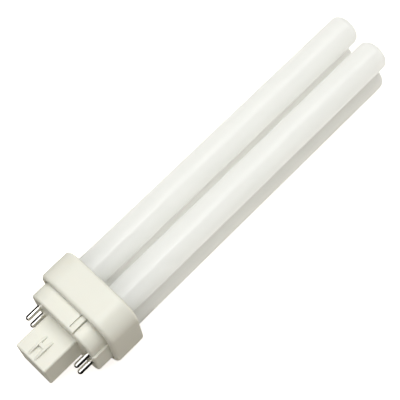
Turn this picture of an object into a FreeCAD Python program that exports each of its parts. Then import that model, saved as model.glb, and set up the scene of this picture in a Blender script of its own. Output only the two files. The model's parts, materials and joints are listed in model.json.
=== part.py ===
import FreeCAD, Part
import math
import os

# Four-leg compact fluorescent lamp with a four-pin plug-in cap, in millimetres.
# It is modelled standing on its cap: x to the right, y to the back, z up along the lamp's axis,
# with z = 0 on the seating plane under the cap. At the end it is laid down with its front face up,
# as it comes to rest on a table: on the collar's edge and on the tips of the two rear legs.

# Glass
LEG_PITCH = 14.7
LEG_RADIUS = 6.0
TIP_Z = 150.7
LONG_LEG_TIP_Z = 151.7
TIP_SHOULDER_RADIUS = 2.5
TIP_DOME_RADIUS = 14.0
LEG_FOOT_Z = 11.0
LEG_FOOT_RADIUS = 1.6
TOP_BRIDGE_Z = 139.0
LOW_BRIDGE_Z = 26.0
BRIDGE_RADIUS = 2.9
PINCH_WIDTH = 9.0
PINCH_THICKNESS = 3.2
PINCH_CORNER = 0.8
PINCH_Z = 7.5
EXHAUST_TIP_RADIUS = 1.3
EXHAUST_TIP_EDGE = 1.0
EXHAUST_TIP_Z = 8.4

# Collar, the upper cap moulding
COLLAR_HALF = 17.3
COLLAR_CORNER = 8.5
COLLAR_Z = 6.6
COLLAR_TOP_Z = 19.5
COLLAR_TOP_EDGE = 1.2
COLLAR_FOOT_EDGE = 1.6
COLLAR_ROOF = 2.1
COLLAR_WALL = 2.8
SOCKET_RADIUS = 6.45
SOCKET_WALL = 1.05
SOCKET_Z = 12.5
SOCKET_CHAMFER = 0.35
CEMENT_BELOW_TOP = 0.5

# Base, the lower cap moulding: block, flange and post
BLOCK_HALF = 14.8
BLOCK_CORNER = 6.7
KEY_FRONT_STEP = 1.25
KEY_SIDE_STEP = 0.85
KEY_FRONT_X = 6.3
KEY_SIDE_Y = -4.0
KEY_GROOVE_WIDTH = 0.35
KEY_GROOVE_DEPTH = 0.5
BLOCK_EDGE = 0.9
BLOCK_WALL = 1.2
FLOOR = 1.4
FLANGE_HALF = 15.3
FLANGE_Z = 7.3
FLANGE_TOP_Z = 8.5
FLANGE_CLEARANCE = 0.1
SLIT_X = 4.3
SLIT_WIDTH = 0.65
SLIT_DEPTH = 0.8
SLIT_FOOT_Z = 1.2
POST_WIDTH = 14.0
POST_DEPTH = 14.7
POST_LENGTH = 14.95
POST_EDGE = 0.7
POST_WALL = 1.2
POST_INNER_EDGE = 0.5

# Retention relief on the post's front and back: two slender ribs and the catch between them
RIB_SPACING = 3.0
RIB_WIDTH = 1.1
RIB_HEIGHT = 1.25
RIB_EDGE = 0.4
RIB_TOP_Z = -5.5
RIB_FOOT_Z = -14.2
CATCH_TOP_Z = -8.3
CATCH_FOOT_Z = -9.6
CATCH_HEIGHT = 1.0

# Contact pins and lead wires
PIN_ROW = 24.0
PIN_PAIR = 8.0
PIN_RADIUS = 1.0
PIN_REACH = 6.2
PIN_TOP_Z = 3.0
PIN_BORE = 0.5
PIN_BORE_Z = -4.8
PIN_SHANK_RADIUS = 1.3
PIN_BEAD_RADIUS = 1.45
PIN_BEAD_Z = 1.0
PIN_BEAD_LENGTH = 0.6
BOSS_RADIUS = 2.1
WIRE_RADIUS = 0.25
WIRE_BEND = 0.8
WIRE_SPREAD = 1.2
WIRE_TURN_Z = 6.2
WIRE_DROP_Z = 4.4

# How far one form reaches into the next where they fuse, and a cutter past what it cuts
LAP = 1.0

V = FreeCAD.Vector
UP = V(0, 0, 1)
LEFT, RIGHT, FRONT, BACK = -1, 1, -1, 1
CORNERS = [(LEFT, FRONT), (LEFT, BACK), (RIGHT, FRONT), (RIGHT, BACK)]
PINS = (1, 2, 3, 4)
HALF_TURNS = (0, 180)


def fused(shapes):
    """One clean solid from shapes that overlap."""
    return shapes[0].multiFuse(shapes[1:]).removeSplitter()


def box(x_min, x_max, y_min, y_max, z_min, z_max):
    return Part.makeBox(x_max - x_min, y_max - y_min, z_max - z_min, V(x_min, y_min, z_min))


def rounded_prism(half_x, half_y, corner, z_min, z_max):
    """A prism with rounded vertical edges, centred on the axis."""
    block = box(-half_x, half_x, -half_y, half_y, z_min, z_max)
    upright = [e for e in block.Edges if e.BoundBox.ZLength > (z_max - z_min) / 2]
    return block.makeFillet(corner, upright)


def edges_at(shape, z):
    """The edges of shape that lie in the level z."""
    return [e for e in shape.Edges if abs(e.BoundBox.ZMin - z) < 1e-5 and abs(e.BoundBox.ZMax - z) < 1e-5]


def turned(edges):
    """A solid of revolution about the z axis, from edges in the xz plane that start and end on it."""
    wire = Part.Wire(edges)
    axis = Part.makeLine(wire.Vertexes[-1].Point, wire.Vertexes[0].Point)
    face = Part.Face(Part.Wire(wire.Edges + [axis]))
    return face.revolve(V(0, 0, 0), UP, 360)


def arc(centre_x, centre_z, radius, start, end):
    """An arc in the xz plane, from the angle start to the angle end, counted from +x towards +z."""
    def at(angle):
        a = math.radians(angle)
        return V(centre_x + radius * math.cos(a), 0, centre_z + radius * math.sin(a))
    return Part.Arc(at(start), at((start + end) / 2), at(end)).toShape()


def leg_centre(side, row):
    return V(side * LEG_PITCH / 2, row * LEG_PITCH / 2, 0)


def tip_angle_and_shoulder_z(tip_z):
    """Where a tip's shoulder meets its dome, as an angle off the axis, and the shoulder's centre."""
    dome_to_shoulder = TIP_DOME_RADIUS - TIP_SHOULDER_RADIUS
    lean = math.asin((LEG_RADIUS - TIP_SHOULDER_RADIUS) / dome_to_shoulder)
    return math.degrees(lean), tip_z - TIP_DOME_RADIUS + dome_to_shoulder * math.cos(lean)


def leg(tip_z):
    """One glass leg: a tube end with a rounded shoulder and a shallow dome, and a closed foot."""
    lean, shoulder_z = tip_angle_and_shoulder_z(tip_z)
    foot_z = LEG_FOOT_Z + LEG_FOOT_RADIUS
    return turned([
        Part.makeLine(V(0, 0, LEG_FOOT_Z), V(LEG_RADIUS - LEG_FOOT_RADIUS, 0, LEG_FOOT_Z)),
        arc(LEG_RADIUS - LEG_FOOT_RADIUS, foot_z, LEG_FOOT_RADIUS, -90, 0),
        Part.makeLine(V(LEG_RADIUS, 0, foot_z), V(LEG_RADIUS, 0, shoulder_z)),
        arc(LEG_RADIUS - TIP_SHOULDER_RADIUS, shoulder_z, TIP_SHOULDER_RADIUS, 0, 90 - lean),
        arc(0, tip_z - TIP_DOME_RADIUS, TIP_DOME_RADIUS, 90 - lean, 90),
    ])


def electrode_pinch(side):
    """The flattened seal under a front leg, which the lead wires come out of."""
    pinch = rounded_prism(PINCH_WIDTH / 2, PINCH_THICKNESS / 2, PINCH_CORNER, PINCH_Z, LEG_FOOT_Z + LAP)
    pinch.translate(leg_centre(side, FRONT))
    return pinch


def exhaust_tip(side):
    """The sealed-off stub under a back leg."""
    stub = Part.makeCylinder(EXHAUST_TIP_RADIUS, LEG_FOOT_Z + LAP - EXHAUST_TIP_Z,
                             leg_centre(side, BACK) + UP * EXHAUST_TIP_Z)
    return stub.makeFillet(EXHAUST_TIP_EDGE, edges_at(stub, EXHAUST_TIP_Z))


def discharge_tube():
    """Four legs in series: front to back at both tips, and across the back above the collar.

    The front left leg is drawn out a little longer than the others."""
    parts = []
    for side, row in CORNERS:
        one_leg = leg(LONG_LEG_TIP_Z if (side, row) == (LEFT, FRONT) else TIP_Z)
        one_leg.translate(leg_centre(side, row))
        parts.append(one_leg)
    for side in (LEFT, RIGHT):
        start = leg_centre(side, FRONT) + UP * TOP_BRIDGE_Z
        parts.append(Part.makeCylinder(BRIDGE_RADIUS, LEG_PITCH, start, V(0, 1, 0)))
        parts += [electrode_pinch(side), exhaust_tip(side)]
    start = leg_centre(LEFT, BACK) + UP * LOW_BRIDGE_Z
    parts.append(Part.makeCylinder(BRIDGE_RADIUS, LEG_PITCH, start, V(1, 0, 0)))
    return fused(parts)


def collar_corner(half):
    """The corner radius of a square that is half wide and concentric with the collar's outline."""
    return COLLAR_CORNER - COLLAR_HALF + half


def tube_collar():
    """The upper moulding: a rounded square skirt, a roof with four sockets, and a ledge for the base."""
    shell = rounded_prism(COLLAR_HALF, COLLAR_HALF, COLLAR_CORNER, COLLAR_Z, COLLAR_TOP_Z)
    shell = shell.makeFillet(COLLAR_TOP_EDGE, edges_at(shell, COLLAR_TOP_Z))
    shell = shell.makeFillet(COLLAR_FOOT_EDGE, edges_at(shell, COLLAR_Z))
    pocket = FLANGE_HALF + FLANGE_CLEARANCE
    inside = COLLAR_HALF - COLLAR_WALL
    roof_z = COLLAR_TOP_Z - COLLAR_ROOF
    shell = shell.cut(rounded_prism(pocket, pocket, collar_corner(pocket), COLLAR_Z - LAP, FLANGE_TOP_Z))
    shell = shell.cut(rounded_prism(inside, inside, collar_corner(inside), FLANGE_TOP_Z - LAP, roof_z))
    bosses, bores = [], []
    for side, row in CORNERS:
        foot = leg_centre(side, row) + UP * SOCKET_Z
        rim = leg_centre(side, row) + UP * (COLLAR_TOP_Z - SOCKET_CHAMFER)
        bosses.append(Part.makeCylinder(SOCKET_RADIUS + SOCKET_WALL, roof_z + LAP - SOCKET_Z, foot))
        bores.append(Part.makeCylinder(SOCKET_RADIUS, COLLAR_TOP_Z + LAP - SOCKET_Z, foot))
        bores.append(Part.makeCone(SOCKET_RADIUS, SOCKET_RADIUS + SOCKET_CHAMFER, SOCKET_CHAMFER, rim))
    return fused([shell] + bosses).cut(fused(bores)).removeSplitter()


def tube_cement():
    """The cement between each leg and its socket, four separate rings."""
    height = COLLAR_TOP_Z - CEMENT_BELOW_TOP - SOCKET_Z
    rings = []
    for side, row in CORNERS:
        foot = leg_centre(side, row) + UP * SOCKET_Z
        ring = Part.makeCylinder(SOCKET_RADIUS, height, foot)
        rings.append(ring.cut(Part.makeCylinder(LEG_RADIUS, height, foot)))
    return Part.makeCompound(rings)


def keyed_prism(inset, z_min, z_max, edge=0):
    """The block's plan: a rounded square stepped in at its front right and back left corners."""
    def layer(half_x, half_y):
        solid = rounded_prism(half_x - inset, half_y - inset, BLOCK_CORNER - inset, z_min, z_max)
        return solid.makeFillet(edge, edges_at(solid, z_min)) if edge else solid
    wide = layer(BLOCK_HALF, BLOCK_HALF)
    step_x, step_y = KEY_FRONT_X - inset, KEY_SIDE_Y + inset
    reach = BLOCK_HALF + LAP
    wide = wide.cut(box(step_x, reach, -reach, step_y, z_min - LAP, z_max + LAP))
    wide = wide.cut(box(-reach, -step_x, -step_y, reach, z_min - LAP, z_max + LAP))
    return fused([wide, layer(BLOCK_HALF - KEY_SIDE_STEP, BLOCK_HALF - KEY_FRONT_STEP)])


def retention_rib():
    """One rib on a face in the plane y = 0: the rim of a round-edged disc, sunk into it at both ends."""
    half_length = (RIB_TOP_Z - RIB_FOOT_Z) / 2
    radius = (half_length ** 2 + RIB_HEIGHT ** 2) / (2 * RIB_HEIGHT)
    centre = V(-RIB_WIDTH / 2, radius - RIB_HEIGHT, (RIB_TOP_Z + RIB_FOOT_Z) / 2)
    disc = Part.makeCylinder(radius, RIB_WIDTH, centre, V(1, 0, 0))
    rims = [e for e in disc.Edges if e.BoundBox.XLength < RIB_EDGE]
    rim_piece = box(-RIB_WIDTH, RIB_WIDTH, -RIB_HEIGHT - LAP, LAP, RIB_FOOT_Z, RIB_TOP_Z)
    return disc.makeFillet(RIB_EDGE, rims).common(rim_piece)


def post():
    """The plug post, closed at its foot, with the relief on its front and back."""
    half_x, half_y = POST_WIDTH / 2, POST_DEPTH / 2
    body = rounded_prism(half_x, half_y, POST_EDGE, -POST_LENGTH, FLOOR)
    parts = [body.makeFillet(POST_EDGE, edges_at(body, -POST_LENGTH))]
    for turn in HALF_TURNS:
        catch = box(-RIB_SPACING / 2, RIB_SPACING / 2, -half_y - CATCH_HEIGHT, -half_y + LAP,
                    CATCH_FOOT_Z, CATCH_TOP_Z)
        relief = [catch]
        for side in (LEFT, RIGHT):
            rib = retention_rib()
            rib.translate(V(side * RIB_SPACING / 2, -half_y, 0))
            relief.append(rib)
        for piece in relief:
            piece.rotate(V(0, 0, 0), UP, turn)
            parts.append(piece)
    return fused(parts)


def post_hollow():
    return rounded_prism(POST_WIDTH / 2 - POST_WALL, POST_DEPTH / 2 - POST_WALL, POST_INNER_EDGE,
                         POST_WALL - POST_LENGTH, FLOOR + LAP)


def pin_place(number):
    """Pins 1 and 2 are on the left, front and back, and pins 3 and 4 on the right."""
    side, row = CORNERS[number - 1]
    return V(side * PIN_ROW / 2, row * PIN_PAIR / 2, 0)


def pin_body(number):
    """The pin's outer form: a round tip, a thicker shank in the moulding and the bead that holds it."""
    tip_z = PIN_RADIUS - PIN_REACH
    outline = [(PIN_RADIUS, tip_z), (PIN_RADIUS, 0), (PIN_SHANK_RADIUS, 0), (PIN_SHANK_RADIUS, PIN_TOP_Z),
               (0, PIN_TOP_Z)]
    profile = [arc(0, tip_z, PIN_RADIUS, -90, 0)]
    for (x0, z0), (x1, z1) in zip(outline, outline[1:]):
        profile.append(Part.makeLine(V(x0, 0, z0), V(x1, 0, z1)))
    bead = Part.makeCylinder(PIN_BEAD_RADIUS, PIN_BEAD_LENGTH, UP * PIN_BEAD_Z)
    body = fused([turned(profile), bead])
    body.translate(pin_place(number))
    return body


def contact_pin(number):
    """A pin with the bore that its lead wire goes down."""
    foot = pin_place(number) + UP * PIN_BORE_Z
    return pin_body(number).cut(Part.makeCylinder(PIN_BORE, PIN_TOP_Z + LAP - PIN_BORE_Z, foot))


def slit():
    """The cutter of the short slit beside the key, which stops above the block's foot."""
    left, right = SLIT_X - SLIT_WIDTH / 2, SLIT_X + SLIT_WIDTH / 2
    return box(left, right, -BLOCK_HALF - LAP, SLIT_DEPTH - BLOCK_HALF, SLIT_FOOT_Z, FLANGE_Z)


def key_groove():
    """The cutter of the groove at the foot of the key's step."""
    stepped_front = KEY_FRONT_STEP - BLOCK_HALF
    return box(KEY_FRONT_X, KEY_FRONT_X + KEY_GROOVE_WIDTH, stepped_front - LAP,
               stepped_front + KEY_GROOVE_DEPTH, -LAP, FLANGE_Z)


def cap_base():
    """The lower moulding: keyed block, flange, pin bosses and the hollow post, open to the collar."""
    block = keyed_prism(0, 0, FLANGE_TOP_Z, BLOCK_EDGE)
    flange = rounded_prism(FLANGE_HALF, FLANGE_HALF, collar_corner(FLANGE_HALF), FLANGE_Z, FLANGE_TOP_Z)
    shell = fused([block, flange, post()])
    shell = shell.cut(keyed_prism(BLOCK_WALL, FLOOR, FLANGE_TOP_Z + LAP)).cut(post_hollow())
    inside_the_walls = keyed_prism(BLOCK_WALL / 2, 0, FLANGE_TOP_Z)
    bosses = []
    for number in PINS:
        foot = pin_place(number) + UP * FLOOR / 2
        boss = Part.makeCylinder(BOSS_RADIUS, PIN_TOP_Z - FLOOR / 2, foot)
        bosses.append(boss.common(inside_the_walls))
    shell = fused([shell] + bosses)
    for number in PINS:
        shell = shell.cut(pin_body(number))
    for turn in HALF_TURNS:
        for groove in (slit(), key_groove()):
            groove.rotate(V(0, 0, 0), UP, turn)
            shell = shell.cut(groove)
    return shell.removeSplitter()


def lead_wire(number):
    """A wire from its electrode's pinch, across to the pin and down to the foot of the pin's bore."""
    side, row = CORNERS[number - 1]
    pin = pin_place(number)
    start = leg_centre(side, FRONT) + V(-side * row * WIRE_SPREAD, 0, 0)
    route = [start + UP * PINCH_Z, start + UP * WIRE_TURN_Z, pin + UP * WIRE_DROP_Z, pin + UP * PIN_BORE_Z]
    edges, last = [], route[0]
    for before, corner, after in zip(route, route[1:], route[2:]):
        back, ahead = (before - corner).normalize(), (after - corner).normalize()
        half_angle = back.getAngle(ahead) / 2
        reach = WIRE_BEND / math.tan(half_angle)
        middle = (back + ahead).normalize()
        apex = corner + middle * (WIRE_BEND / math.sin(half_angle) - WIRE_BEND)
        edges.append(Part.makeLine(last, corner + back * reach))
        edges.append(Part.Arc(corner + back * reach, apex, corner + ahead * reach).toShape())
        last = corner + ahead * reach
    edges.append(Part.makeLine(last, route[-1]))
    ring = Part.Wire(Part.makeCircle(WIRE_RADIUS, route[0], UP))
    return Part.Wire(edges).makePipeShell([ring], True, False)


def resting_tilt():
    """The angle by which the tips come down, once the collar's edge and the back tips touch the table."""
    _, shoulder_z = tip_angle_and_shoulder_z(TIP_Z)
    along = shoulder_z - (COLLAR_TOP_Z - COLLAR_TOP_EDGE)
    leg_height = LEG_PITCH / 2 + LEG_RADIUS - TIP_SHOULDER_RADIUS
    rise = (COLLAR_HALF - COLLAR_TOP_EDGE) - leg_height
    lift = math.asin((TIP_SHOULDER_RADIUS - COLLAR_TOP_EDGE) / math.hypot(along, rise))
    return math.degrees(math.atan2(rise, along) - lift)


def lying_placement(shapes):
    """Lays the lamp down, its z axis along +x and its front up, over the middle of its own outline."""
    lying = FreeCAD.Rotation(V(0, -1, 0), V(0, 0, -1), V(1, 0, 0), "ZXY")
    place = FreeCAD.Placement(V(0, 0, 0), FreeCAD.Rotation(V(0, 1, 0), resting_tilt()) * lying)
    whole = Part.makeCompound(shapes)
    whole.Placement = place
    limits = whole.optimalBoundingBox(False, False)
    place.Base = V(-limits.Center.x, 0, -limits.ZMin)
    return place


def main():
    parts = {
        "discharge_tube": discharge_tube(),
        "tube_collar": tube_collar(),
        "tube_cement": tube_cement(),
        "cap_base": cap_base(),
    }
    for number in PINS:
        parts[f"contact_pin_{number}"] = contact_pin(number)
        parts[f"lead_wire_{number}"] = lead_wire(number)
    place = lying_placement(list(parts.values()))

    os.makedirs("parts", exist_ok=True)
    for name, shape in parts.items():
        shape.Placement = place.multiply(shape.Placement)
        shape.exportStep(f"parts/{name}.step")
        print(name, "valid", shape.isValid(), "solids", len(shape.Solids), "mm3", round(shape.Volume, 1))

    print("tilt in degrees", round(resting_tilt(), 6), "shift", place.Base)
    for number in PINS:
        print("pin", number, "root at", place.multVec(pin_place(number)))
    print("pins point along", place.Rotation.multVec(-UP))


main()
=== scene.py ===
"""Finish, light and camera of a compact fluorescent lamp that lies with its front face up."""
import json
import math

import bpy
from bpy.props import FloatProperty, FloatVectorProperty, PointerProperty
from mathutils import Matrix, Vector

bl_info = {
    "name": "Compact fluorescent lamp",
    "version": (1, 0, 0),
    "blender": (4, 5, 0),
    "location": "3D View > Sidebar > Lamp",
    "description": "Coated glass, moulded cap and plated pins of a plug-in lamp, with its studio",
    "category": "Object",
}

MM = 0.001
PIN_NAMES = [f"contact_pin_{number}" for number in (1, 2, 3, 4)]
WIRE_NAMES = [f"lead_wire_{number}" for number in (1, 2, 3, 4)]

GLASS_IOR = 1.5
PLASTIC_IOR = 1.5
BLACK = (0.01, 0.01, 0.01, 1)

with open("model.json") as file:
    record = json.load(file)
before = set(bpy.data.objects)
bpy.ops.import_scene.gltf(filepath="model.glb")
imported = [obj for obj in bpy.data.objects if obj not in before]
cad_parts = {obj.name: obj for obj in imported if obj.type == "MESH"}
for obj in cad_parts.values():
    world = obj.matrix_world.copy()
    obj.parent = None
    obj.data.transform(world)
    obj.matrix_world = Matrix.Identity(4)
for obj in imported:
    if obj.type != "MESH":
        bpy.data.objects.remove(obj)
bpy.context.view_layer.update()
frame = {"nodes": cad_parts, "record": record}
MOUNTS = {mount["name"]: mount for mount in frame["record"]["mounts"]}

# The lamp's own directions, taken from its pins: up runs along the legs, from the seating plane.
PINS = [Vector(MOUNTS[name]["pos_m"]) for name in PIN_NAMES]
UP = -Vector(MOUNTS["seating_face"]["axis"]).normalized()
RIGHT = (PINS[2] - PINS[0]).normalized()
FRONT = (PINS[0] - PINS[1]).normalized()
PIN_MIDDLE = sum(PINS, Vector()) / len(PINS)
SEAT = PIN_MIDDLE + UP * (Vector(MOUNTS["seating_face"]["pos_m"]) - PIN_MIDDLE).dot(UP)


def lamp_point(right, front, up):
    """A point in the row frame, from millimetres along the lamp's own directions."""
    return SEAT + (RIGHT * right + FRONT * front + UP * up) * MM


class Field:
    """A socket that arithmetic can be written with: each operator adds its Math node."""

    def __init__(self, shader, socket):
        self.shader = shader
        self.socket = socket

    def math(self, operation, *values):
        return self.shader.node("ShaderNodeMath", {"operation": operation}, dict(enumerate(values)))

    def __add__(self, other):
        return self.math("ADD", self, other)

    __radd__ = __add__

    def __sub__(self, other):
        return self.math("SUBTRACT", self, other)

    def __rsub__(self, other):
        return self.math("SUBTRACT", other, self)

    def __mul__(self, other):
        return self.math("MULTIPLY", self, other)

    __rmul__ = __mul__

    def or_more(self, other):
        """The greater of this and another."""
        return self.math("MAXIMUM", self, other)


class Shader:
    """The node tree of a material or a world, emptied and written anew."""

    def __init__(self, owner):
        owner.use_nodes = True
        self.tree = owner.node_tree
        self.tree.nodes.clear()

    def node(self, kind, settings=None, inputs=None, output=0):
        """Adds a node, with its settings before its sockets, and gives one of its outputs."""
        made = self.tree.nodes.new(kind)
        for name, value in (settings or {}).items():
            setattr(made, name, value)
        for name, value in (inputs or {}).items():
            if isinstance(value, Field):
                self.tree.links.new(value.socket, made.inputs[name])
            else:
                made.inputs[name].default_value = value
        return Field(self, made.outputs[output])

    def surface(self, closure, kind="ShaderNodeOutputMaterial"):
        """Ends the tree in a closure."""
        sink = self.tree.nodes.new(kind)
        self.tree.links.new(closure.socket, sink.inputs["Surface"])

    def place(self):
        """The point on the surface in the row frame, in metres."""
        return self.node("ShaderNodeTexCoord", output="Object")

    def along(self, direction):
        """How far the point lies along a direction of the lamp from its seating plane, in metres."""
        offset = self.node("ShaderNodeVectorMath", {"operation": "SUBTRACT"}, {0: self.place(), 1: SEAT})
        return self.node("ShaderNodeVectorMath", {"operation": "DOT_PRODUCT"},
                         {0: offset, 1: direction}, output="Value")

    def noise(self, size, detail):
        """Noise from 0 to 1 whose blobs are about size across, in metres."""
        values = {"Vector": self.place(), "Scale": 1 / size, "Detail": detail}
        return self.node("ShaderNodeTexNoise", None, values)

    def mix(self, factor, first, second):
        """A colour between two, by a factor."""
        return self.node("ShaderNodeMix", {"data_type": "RGBA"}, {0: factor, 6: first, 7: second}, output=2)

    def bump(self, height, depth):
        """A normal from a height of 0 to 1, with its depth in metres."""
        return self.node("ShaderNodeBump", None, {"Strength": 1.0, "Distance": depth, "Height": height})

    def seen_directly(self, share_scattered):
        """1 for rays from the camera and off or through glass or metal, and less if they are scattered."""
        camera, glossy, through, scattered = [
            self.node("ShaderNodeLightPath", output=name)
            for name in ("Is Camera Ray", "Is Glossy Ray", "Is Transmission Ray", "Is Diffuse Ray")]
        return camera.or_more(glossy).or_more(through * (1 - scattered * (1 - share_scattered)))


def opaque(colour):
    """A colour with a full alpha."""
    return (*colour, 1.0)


def new_material(name):
    """A material and its emptied node tree."""
    material = bpy.data.materials.new(name)
    return material, Shader(material)


def coated_glass(glass):
    """Smooth clear glass over a white coating, which is a little uneven and lets light through."""
    material, shader = new_material("coated_glass")
    cloud = shader.noise(size=14 * MM, detail=3)
    colour = shader.mix(cloud, opaque(glass.thin_coating), opaque(glass.coating))
    grain = shader.noise(size=0.35 * MM, detail=4)
    glossy = shader.node("ShaderNodeBsdfPrincipled", None, {
        "Base Color": colour, "Roughness": 0.6 + grain * 0.2, "Specular IOR Level": 0.0,
        "Coat Weight": 1.0, "Coat Roughness": glass.gloss_roughness, "Coat IOR": GLASS_IOR,
        "Normal": shader.bump(grain, depth=0.004 * MM)})
    glow = shader.node("ShaderNodeBsdfTranslucent", None, {"Color": opaque(glass.coating)})
    shader.surface(shader.node("ShaderNodeMixShader", None, {0: glass.light_through, 1: glossy, 2: glow}))
    return material


def moulded_plastic(cap):
    """Cream moulded plastic with a satin, finely eroded tool surface."""
    material, shader = new_material("moulded_plastic")
    flow = shader.noise(size=9 * MM, detail=2)
    colour = shader.mix(flow, opaque(cap.shade_of_plastic), opaque(cap.plastic))
    grain = shader.noise(size=0.22 * MM, detail=3)
    shader.surface(shader.node("ShaderNodeBsdfPrincipled", None, {
        "Base Color": colour, "Roughness": cap.roughness - 0.05 + grain * 0.1, "IOR": PLASTIC_IOR,
        "Subsurface Weight": 0.15, "Subsurface Radius": (1.0, 0.8, 0.6), "Subsurface Scale": 0.8 * MM,
        "Normal": shader.bump(grain, depth=0.006 * MM)}))
    return material


def plated_metal(pins):
    """Bright plating with faint turning marks round each pin."""
    material, shader = new_material("plated_metal")
    marks = shader.node("ShaderNodeTexNoise", {"noise_dimensions": "1D"},
                        {"W": shader.along(UP), "Scale": 1 / (0.12 * MM), "Detail": 2})
    stain = shader.noise(size=1.5 * MM, detail=3)
    shader.surface(shader.node("ShaderNodeBsdfPrincipled", None, {
        "Base Color": shader.mix(stain, opaque(pins.dull_plating), opaque(pins.plating)),
        "Metallic": 1.0, "Roughness": pins.roughness - 0.04 + stain * 0.08,
        "Normal": shader.bump(marks, depth=0.002 * MM)}))
    return material


def drawn_wire():
    """Dull drawn wire, darker in patches."""
    material, shader = new_material("drawn_wire")
    stain = shader.noise(size=0.8 * MM, detail=3)
    shader.surface(shader.node("ShaderNodeBsdfPrincipled", None, {
        "Base Color": shader.mix(stain, (0.45, 0.42, 0.37, 1), (0.68, 0.65, 0.6, 1)),
        "Metallic": 1.0, "Roughness": 0.38 + stain * 0.1}))
    return material


def setting_cement():
    """Dull, grainy white cement."""
    material, shader = new_material("setting_cement")
    grain = shader.noise(size=0.3 * MM, detail=4)
    shader.surface(shader.node("ShaderNodeBsdfPrincipled", None, {
        "Base Color": shader.mix(grain, (0.74, 0.73, 0.69, 1), (0.88, 0.87, 0.83, 1)),
        "Roughness": 0.85, "Normal": shader.bump(grain, depth=0.05 * MM)}))
    return material


def finish_nodes(names, material):
    """Gives pieces their material."""
    for name in names:
        for slot in frame["nodes"][name].material_slots:
            slot.material = material


class GlassSettings(bpy.types.PropertyGroup):
    """The coated glass legs."""
    coating: FloatVectorProperty(
        name="Coating", description="Colour of the white coating inside the glass",
        subtype="COLOR", size=3, min=0, max=1, default=(0.983, 0.99, 0.974))
    thin_coating: FloatVectorProperty(
        name="Thin coating", description="Colour where the coating is thinner",
        subtype="COLOR", size=3, min=0, max=1, default=(0.973, 0.985, 0.965))
    light_through: FloatProperty(
        name="Light through", description="Share of the light that the coating lets through",
        subtype="FACTOR", min=0, max=1, default=0.6)
    gloss_roughness: FloatProperty(
        name="Gloss roughness", description="Roughness of the glass surface",
        subtype="FACTOR", min=0, max=1, default=0.04)


class CapSettings(bpy.types.PropertyGroup):
    """The two cream mouldings."""
    plastic: FloatVectorProperty(
        name="Plastic", description="Colour of the moulded cap",
        subtype="COLOR", size=3, min=0, max=1, default=(0.752, 0.746, 0.655))
    shade_of_plastic: FloatVectorProperty(
        name="Shade of plastic", description="Colour of the moulded cap in its slightly darker patches",
        subtype="COLOR", size=3, min=0, max=1, default=(0.732, 0.726, 0.635))
    roughness: FloatProperty(
        name="Roughness", description="Roughness of the moulded surface",
        subtype="FACTOR", min=0, max=1, default=0.42)


class PinSettings(bpy.types.PropertyGroup):
    """The plated contact pins."""
    plating: FloatVectorProperty(
        name="Plating", description="Colour of the bright plating",
        subtype="COLOR", size=3, min=0, max=1, default=(0.83, 0.81, 0.77))
    dull_plating: FloatVectorProperty(
        name="Dull plating", description="Colour of the plating where it is duller",
        subtype="COLOR", size=3, min=0, max=1, default=(0.7, 0.68, 0.63))
    roughness: FloatProperty(
        name="Roughness", description="Roughness of the plating",
        subtype="FACTOR", min=0, max=1, default=0.1)


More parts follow.
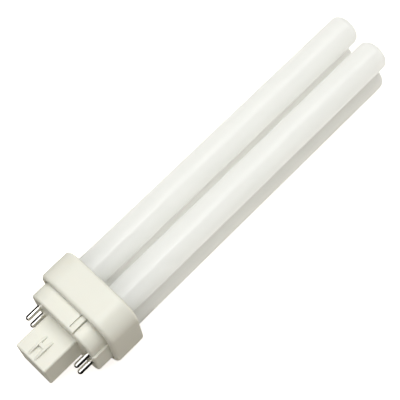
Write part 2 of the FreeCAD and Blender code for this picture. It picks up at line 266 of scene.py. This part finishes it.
class StageSettings(bpy.types.PropertyGroup):
    """The camera, the black cards, the lamps and the white surroundings."""
    camera_place: FloatVectorProperty(
        name="Camera place",
        description="Millimetres right, front and up from the middle of the seating plane",
        size=3, default=(135.32, 398.3, -39.42))
    camera_target: FloatVectorProperty(
        name="Camera target", description="What the middle of the picture shows, in the same measure",
        size=3, default=(-1.15, 0.0, 66.7))
    camera_lean: FloatProperty(
        name="Camera lean", description="How far the legs lean to the right of the picture's upright",
        subtype="ANGLE", default=math.radians(46.06))
    lens: FloatProperty(
        name="Lens", description="Focal length, in millimetres", unit="CAMERA", min=1, default=110.35)
    sensor_width: FloatProperty(
        name="Sensor width", description="Width of the sensor, in millimetres", unit="CAMERA", min=1,
        default=36)
    card_reach: FloatProperty(
        name="Card reach", description="How far the black cards reach to each side, in millimetres",
        min=1, default=160)
    card_half_length: FloatProperty(
        name="Card half length", description="Half the black cards' length along the lamp, in millimetres",
        min=1, default=75)
    card_past_seat: FloatProperty(
        name="Card past seat",
        description="How far the black cards reach past the seating plane, in millimetres", default=30)
    card_lift: FloatProperty(
        name="Card lift", description="Height of the cards' lower edge over the floor, in millimetres",
        min=0, default=1)
    left_card_height: FloatProperty(
        name="Left card height", description="Height of the black card at the left, in millimetres",
        min=1, default=420)
    right_card_height: FloatProperty(
        name="Right card height", description="Height of the black card at the right, in millimetres",
        min=1, default=200)
    end_card_height: FloatProperty(
        name="End card height", description="Height of the black card beyond the pins, in millimetres",
        min=1, default=60)
    main_power: FloatProperty(
        name="Main power", description="Power of the large soft light over the legs",
        unit="POWER", min=0, default=9.0)
    left_power: FloatProperty(
        name="Left power", description="Power of the soft light high at the left",
        unit="POWER", min=0, default=2.7)
    right_power: FloatProperty(
        name="Right power", description="Power of the low soft light at the right",
        unit="POWER", min=0, default=1.3)
    pins_power: FloatProperty(
        name="Pins power", description="Power of the low soft light beyond the pins",
        unit="POWER", min=0, default=1.5)
    tips_power: FloatProperty(
        name="Tips power", description="Power of the low soft light beyond the tips",
        unit="POWER", min=0, default=0.4)
    streak_power: FloatProperty(
        name="Streak power", description="Power of the narrow light that draws the streaks",
        unit="POWER", min=0, default=0.5)
    lit_height: FloatProperty(
        name="Lit height", description="How far up the legs the lamps are aimed, in millimetres",
        default=65)
    floor: FloatVectorProperty(
        name="Floor", description="Colour of the floor",
        subtype="COLOR", size=3, min=0, max=1, default=(0.86, 0.8, 0.73))
    floor_half_side: FloatProperty(
        name="Floor half side", description="Half the side of the floor",
        subtype="DISTANCE", min=1, default=4)
    floor_glow: FloatProperty(
        name="Floor glow",
        description="What is added to the floor where it is seen directly, so that it is white",
        subtype="FACTOR", min=0, max=1, default=0.7)
    share_scattered: FloatProperty(
        name="Share scattered",
        description="Share of the white surroundings for light that the coating of the glass scatters",
        subtype="FACTOR", min=0, max=1, default=0.15)


class LAMP_OT_glass(bpy.types.Operator):
    """Coat the glass legs"""
    bl_idname = "lamp.glass"
    bl_label = "Glass legs"

    def execute(self, context):
        finish_nodes(["discharge_tube"], coated_glass(context.scene.lamp_glass))
        return {"FINISHED"}


class LAMP_OT_cap(bpy.types.Operator):
    """Finish the two mouldings of the cap"""
    bl_idname = "lamp.cap"
    bl_label = "Cap mouldings"

    def execute(self, context):
        finish_nodes(["tube_collar", "cap_base"], moulded_plastic(context.scene.lamp_cap))
        return {"FINISHED"}


class LAMP_OT_pins(bpy.types.Operator):
    """Plate the contact pins"""
    bl_idname = "lamp.pins"
    bl_label = "Contact pins"

    def execute(self, context):
        finish_nodes(PIN_NAMES, plated_metal(context.scene.lamp_pins))
        return {"FINISHED"}


class LAMP_OT_inside(bpy.types.Operator):
    """Finish what the cap holds inside: the cement and the lead wires"""
    bl_idname = "lamp.inside"
    bl_label = "Cement and wires"

    def execute(self, context):
        finish_nodes(["tube_cement"], setting_cement())
        finish_nodes(WIRE_NAMES, drawn_wire())
        return {"FINISHED"}


def sheet(name, middle, across, upward, material):
    """A flat rectangle about a point, from its two half sides."""
    mesh = bpy.data.meshes.new(name)
    corners = [middle + across * a + upward * b for a, b in ((-1, -1), (1, -1), (1, 1), (-1, 1))]
    mesh.from_pydata(corners, [], [(0, 1, 2, 3)])
    mesh.materials.append(material)
    piece = bpy.data.objects.new(name, mesh)
    bpy.context.scene.collection.objects.link(piece)
    return piece


def lay_floor(stage):
    """A pale floor that is white where it is seen directly, apart from the lamp's shadow."""
    material, shader = new_material("pale_floor")
    paper = shader.noise(size=40 * MM, detail=2) * 0.01
    diffuse = shader.node("ShaderNodeBsdfDiffuse", None, {"Color": opaque(stage.floor), "Roughness": paper})
    glow = shader.seen_directly(stage.share_scattered) * stage.floor_glow
    white = shader.node("ShaderNodeEmission", None, {"Strength": glow})
    shader.surface(shader.node("ShaderNodeAddShader", None, {0: diffuse, 1: white}))
    half = stage.floor_half_side
    sheet("floor", Vector(), Vector((half, 0, 0)), Vector((0, half, 0)), material)


def dark_cards(stage):
    """Black cards round and below the pins, which only reflections show: they edge the bright metal."""
    material, shader = new_material("black_card")
    shader.surface(shader.node("ShaderNodeBsdfDiffuse", None, {"Color": BLACK}))
    low = stage.card_lift - SEAT.z / MM
    middle = stage.card_past_seat - stage.card_half_length
    end = middle - stage.card_half_length
    sideways = RIGHT * stage.card_reach * MM
    lengthways = UP * stage.card_half_length * MM
    cards = [sheet("card_below", lamp_point(0, low, middle), sideways, lengthways, material)]
    for name, right, up, across, height in (
            ("card_left", -stage.card_reach, middle, lengthways, stage.left_card_height),
            ("card_right", stage.card_reach, middle, lengthways, stage.right_card_height),
            ("card_end", 0, end, sideways, stage.end_card_height)):
        half_height = height / 2
        cards.append(sheet(name, lamp_point(right, low + half_height, up), across,
                           FRONT * half_height * MM, material))
    for card in cards:
        card.visible_camera = card.visible_diffuse = False
        card.visible_transmission = card.visible_shadow = False


def light_the_world(stage):
    """White where it is seen directly, and no light of its own elsewhere."""
    world = bpy.data.worlds.new("studio")
    bpy.context.scene.world = world
    shader = Shader(world)
    white = shader.node("ShaderNodeBackground", None,
                        {"Strength": shader.seen_directly(stage.share_scattered)})
    shader.surface(white, "ShaderNodeOutputWorld")


def area_light(name, place, target, width, length, power, spared):
    """A rectangular lamp that faces a point and doesn't light the nodes that are spared."""
    data = bpy.data.lights.new(name, "AREA")
    data.shape = "RECTANGLE"
    data.size, data.size_y = width, length
    data.energy = power
    lamp = bpy.data.objects.new(name, data)
    lamp.location = place
    lamp.rotation_euler = (target - place).to_track_quat("-Z", "Y").to_euler()
    bpy.context.scene.collection.objects.link(lamp)
    if spared:
        flags = bpy.data.collections.new(f"{name}_flags")
        for node in spared:
            flags.objects.link(frame["nodes"][node])
        lamp.light_linking.receiver_collection = flags
        for member in flags.collection_objects:
            member.light_linking.link_state = "EXCLUDE"


def hang_lamps(stage):
    """The soft lamps. Those at the sides spare the pins, whose flanks stay dark."""
    target = lamp_point(0, 0, stage.lit_height)
    # Name, millimetres right, front and up from the seat, width and length in metres, power, spared nodes
    for name, place, width, length, power, spared in (
            ("main", (0, 950, 130), 0.6, 1.2, stage.main_power, ()),
            ("left_side", (-610, 730, 200), 0.9, 1.2, stage.left_power, PIN_NAMES),
            ("right_side", (800, 400, 65), 0.7, 0.7, stage.right_power, PIN_NAMES),
            ("beyond_pins", (-600, 250, -600), 0.7, 0.7, stage.pins_power, PIN_NAMES),
            ("beyond_tips", (600, 250, 600), 0.7, 0.7, stage.tips_power, PIN_NAMES),
            ("streak", (220, 1000, 210), 0.2, 0.12, stage.streak_power, ())):
        area_light(name, lamp_point(*place), target, width, length, power, spared)


def place_camera(stage):
    """The camera, turned about its view until the legs lean as they do in the picture."""
    data = bpy.data.cameras.new("camera")
    data.sensor_width = stage.sensor_width
    data.lens = stage.lens
    place = lamp_point(*stage.camera_place)
    backward = (place - lamp_point(*stage.camera_target)).normalized()
    legs = (UP - backward * UP.dot(backward)).normalized()
    upright = Matrix.Rotation(stage.camera_lean, 3, backward) @ legs
    turn = Matrix((upright.cross(backward), upright, backward)).transposed()
    camera = bpy.data.objects.new("camera", data)
    camera.matrix_world = Matrix.Translation(place) @ turn.to_4x4()
    bpy.context.scene.collection.objects.link(camera)
    bpy.context.scene.camera = camera


class LAMP_OT_stage(bpy.types.Operator):
    """Lay the floor, place the cards and lamps and set the camera"""
    bl_idname = "lamp.stage"
    bl_label = "Stage"

    def execute(self, context):
        stage = context.scene.lamp_stage
        context.scene.view_settings.view_transform = "Standard"
        lay_floor(stage)
        dark_cards(stage)
        light_the_world(stage)
        hang_lamps(stage)
        place_camera(stage)
        return {"FINISHED"}


class LAMP_PT_panel(bpy.types.Panel):
    """The steps that dress the lamp, in order"""
    bl_label = "Lamp"
    bl_idname = "LAMP_PT_panel"
    bl_space_type = "VIEW_3D"
    bl_region_type = "UI"
    bl_category = "Lamp"

    def draw(self, context):
        for operator in OPERATORS:
            self.layout.operator(operator.bl_idname)


SETTINGS = {"lamp_glass": GlassSettings, "lamp_cap": CapSettings, "lamp_pins": PinSettings,
            "lamp_stage": StageSettings}
OPERATORS = (LAMP_OT_glass, LAMP_OT_cap, LAMP_OT_pins, LAMP_OT_inside, LAMP_OT_stage)


def register():
    for group in (*SETTINGS.values(), *OPERATORS, LAMP_PT_panel):
        bpy.utils.register_class(group)
    for name, group in SETTINGS.items():
        setattr(bpy.types.Scene, name, PointerProperty(type=group))


def unregister():
    for name in SETTINGS:
        delattr(bpy.types.Scene, name)
    for group in (LAMP_PT_panel, *OPERATORS, *SETTINGS.values()):
        bpy.utils.unregister_class(group)


def main():
    register()
    bpy.ops.lamp.glass()
    bpy.ops.lamp.cap()
    bpy.ops.lamp.pins()
    bpy.ops.lamp.inside()
    bpy.ops.lamp.stage()


if __name__ == "__main__":
    main()
